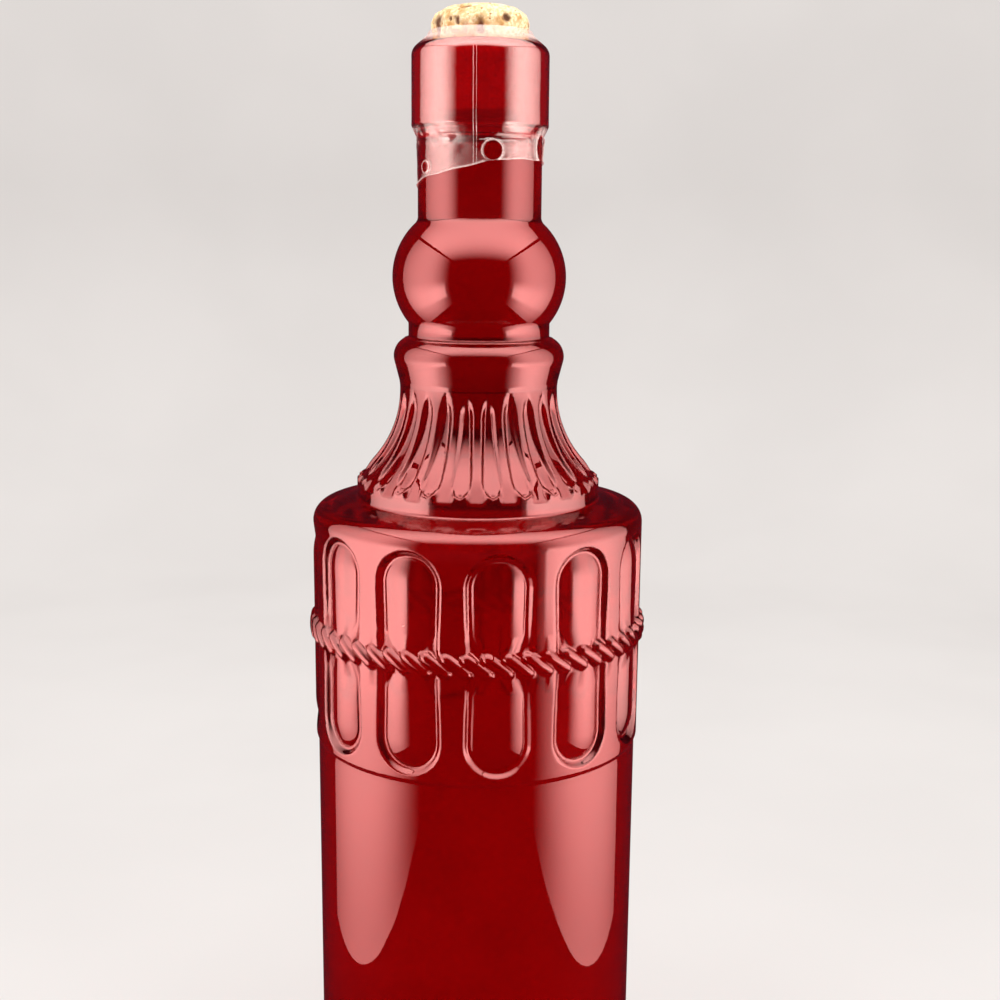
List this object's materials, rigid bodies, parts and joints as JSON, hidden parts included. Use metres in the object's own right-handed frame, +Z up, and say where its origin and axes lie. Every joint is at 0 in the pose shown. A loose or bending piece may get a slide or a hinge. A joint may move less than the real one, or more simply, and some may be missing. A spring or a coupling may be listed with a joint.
{
  "type": "decorative glass bottle",
  "caption": "Filled, corked bottle of ruby glass: round bulb on the neck, fluted flared cone, flat shoulder, panelled band with a rope ring, plain body.",
  "frame": {"origin": "middle of the base, on the surface that the bottle stands on", "axes": "+Z up along the bottle's axis, -Y towards the front"},
  "size_m": [0.0772, 0.0772, 0.3077],
  "materials": {
    "ruby_glass": "glossy",
    "ruby_drink": "glossy",
    "natural_cork": "matte",
    "clear_film": "glossy"
  },
  "bodies": {
    "root": {"glass_bottle": "ruby_glass", "drink": "ruby_drink", "cork": "natural_cork", "shrink_film": "clear_film"}
  },
  "joints": []
}
